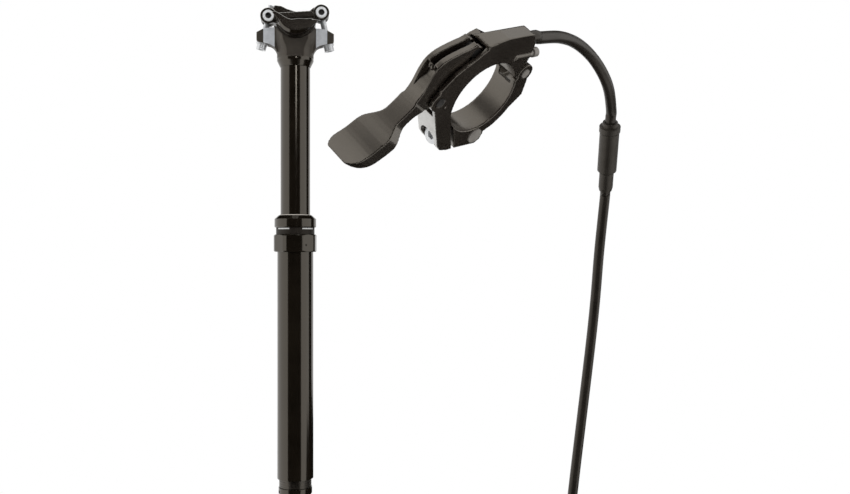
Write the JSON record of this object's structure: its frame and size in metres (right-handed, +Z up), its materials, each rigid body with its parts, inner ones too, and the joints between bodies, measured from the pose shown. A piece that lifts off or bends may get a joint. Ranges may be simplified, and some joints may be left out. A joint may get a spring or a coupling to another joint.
{
  "type": "dropper seatpost",
  "caption": "Telescopic bicycle seatpost with a two-bolt tilting saddle clamp, a cable rocker at its foot, and a thumb lever remote on a cable housing.",
  "frame": {"origin": "on the post's axis at the lower end of the outer tube", "axes": "+Z up along the post, +X forward along the saddle rails, +Y across"},
  "size_m": [0.1408, 0.6462, 0.5395],
  "materials": {
    "black_anodised": "gloss black anodised",
    "bare_aluminium": "machined",
    "steel": "plated",
    "brass": "machined",
    "black_rubber": "matt",
    "bearing_plastic": "matt",
    "housing_plastic": "semi-gloss",
    "adjuster_plastic": "satin"
  },
  "bodies": {
    "post": {"outer_tube": "black_anodised", "collar_base": "black_anodised", "collar_band": "black_anodised", "seal_cap": "black_anodised", "wiper_seal": "black_rubber", "upper_bushing": "bearing_plastic", "base_cap": "black_anodised", "base_seal": "black_rubber", "lock_ring": "black_anodised", "bottom_bumper": "black_rubber", "piston_rod": "steel", "piston": "bare_aluminium", "piston_seal": "black_rubber", "actuator_housing": "black_anodised", "actuator_pivot_pin": "steel", "actuator_ferrule": "steel", "clamp_body": "black_anodised", "strap_hinge_pin": "steel", "strap_bolt": "steel", "lever_pivot_pin": "steel", "remote_ferrule": "steel", "block_screw": "steel", "upper_housing": "housing_plastic", "adjuster_screw": "adjuster_plastic", "lower_housing": "housing_plastic"},
    "shaft": {"shaft": "black_anodised", "shaft_bushing": "bearing_plastic", "guide_keys": "brass", "gas_cylinder": "bare_aluminium", "cylinder_seal_head": "bare_aluminium", "cylinder_cap": "bare_aluminium", "head": "black_anodised"},
    "saddle_clamp": {"lower_cradle": "black_anodised", "upper_clamp": "black_anodised"},
    "front_bolt": {"front_clamp_bolt": "steel", "front_bolt_washer": "steel"},
    "rear_bolt": {"rear_clamp_bolt": "steel", "rear_bolt_washer": "steel"},
    "front_nut": {"front_barrel_nut": "steel"},
    "rear_nut": {"rear_barrel_nut": "steel"},
    "rocker": {"actuator_cam": "brass"},
    "anchor": {"cable_anchor": "steel", "actuator_wire": "steel"},
    "valve": {"valve_pin": "steel"},
    "strap": {"clamp_strap": "black_anodised", "strap_barrel_nut": "steel"},
    "lever": {"thumb_lever": "black_anodised", "lever_bushings": "bearing_plastic"},
    "remote_cable": {"cable_head": "steel", "remote_wire": "steel"},
    "adjuster": {"adjuster_barrel": "adjuster_plastic"}
  },
  "joints": [
    {"name": "dropper_travel", "type": "slide", "parent": "post", "child": "shaft", "axis": [0, 0, 1], "range_m": [-0.125, 0], "stiffness_N_per_m": 400, "springref_m": 0.5},
    {"name": "saddle_tilt", "type": "hinge", "parent": "shaft", "child": "saddle_clamp", "pos_m": [0, 0, 0.3955], "axis": [0, -1, 0], "range_deg": [-11, 4]},
    {"name": "front_bolt_swing", "type": "hinge", "parent": "shaft", "child": "front_bolt", "pos_m": [0.0282, 0, 0.375], "axis": [0, -1, 0], "range_deg": [-0.136, 0.287]},
    {"name": "front_nut_turn", "type": "hinge", "parent": "saddle_clamp", "child": "front_nut", "pos_m": [0.02224, 0, 0.40159], "axis": [0, -1, 0], "range_deg": [-4.14, 11.29]},
    {"name": "rear_bolt_swing", "type": "hinge", "parent": "shaft", "child": "rear_bolt", "pos_m": [-0.0282, 0, 0.375], "axis": [0, -1, 0], "range_deg": [-0.32, 0.79]},
    {"name": "rear_nut_turn", "type": "hinge", "parent": "saddle_clamp", "child": "rear_nut", "pos_m": [-0.02297, 0, 0.39748], "axis": [0, -1, 0], "range_deg": [-4.32, 11.79]},
    {"name": "lever_press", "type": "hinge", "parent": "post", "child": "lever", "pos_m": [0.03437, -0.6081, 0.23884], "axis": [0.5492, -0.5025, -0.6678], "range_deg": [0, 14], "stiffness_Nm_per_rad": 0.8, "springref_deg": -14.32},
    {"name": "remote_cable_pull", "type": "slide", "parent": "post", "child": "remote_cable", "axis": [-0.8047, -0.5335, -0.2604], "range_m": [0, 0.0035]},
    {"name": "anchor_pull", "type": "slide", "parent": "post", "child": "anchor", "axis": [0, 0, -1], "range_m": [0, 0.0035]},
    {"name": "rocker_turn", "type": "hinge", "parent": "post", "child": "rocker", "pos_m": [0.0026, 0, -0.024], "axis": [0, 1, 0], "range_deg": [0, 26]},
    {"name": "valve_lift", "type": "slide", "parent": "post", "child": "valve", "axis": [0, 0, 1], "range_m": [0, 0.0011]},
    {"name": "strap_open", "type": "hinge", "parent": "post", "child": "strap", "pos_m": [0.05973, -0.59434, 0.24935], "axis": [0.5492, -0.5025, -0.6678], "range_deg": [0, 1.5]},
    {"name": "adjuster_turn", "type": "hinge", "parent": "post", "child": "adjuster", "pos_m": [0.102, -0.547, 0.239], "axis": [0.12, 0.5699, -0.8129], "continuous": true}
  ],
  "couplings": [
    {"joint": "front_bolt_swing", "follows": "saddle_tilt", "ratio": -0.02158},
    {"joint": "front_nut_turn", "follows": "saddle_tilt", "ratio": -1.0216},
    {"joint": "rear_bolt_swing", "follows": "saddle_tilt", "ratio": -0.06714},
    {"joint": "rear_nut_turn", "follows": "saddle_tilt", "ratio": -1.0671},
    {"joint": "remote_cable_pull", "follows": "lever_press", "m_per_rad": 0.013428},
    {"joint": "anchor_pull", "follows": "lever_press", "m_per_rad": 0.013428},
    {"joint": "rocker_turn", "follows": "lever_press", "ratio": 1.7857},
    {"joint": "valve_lift", "follows": "lever_press", "m_per_rad": 0.004113}
  ]
}
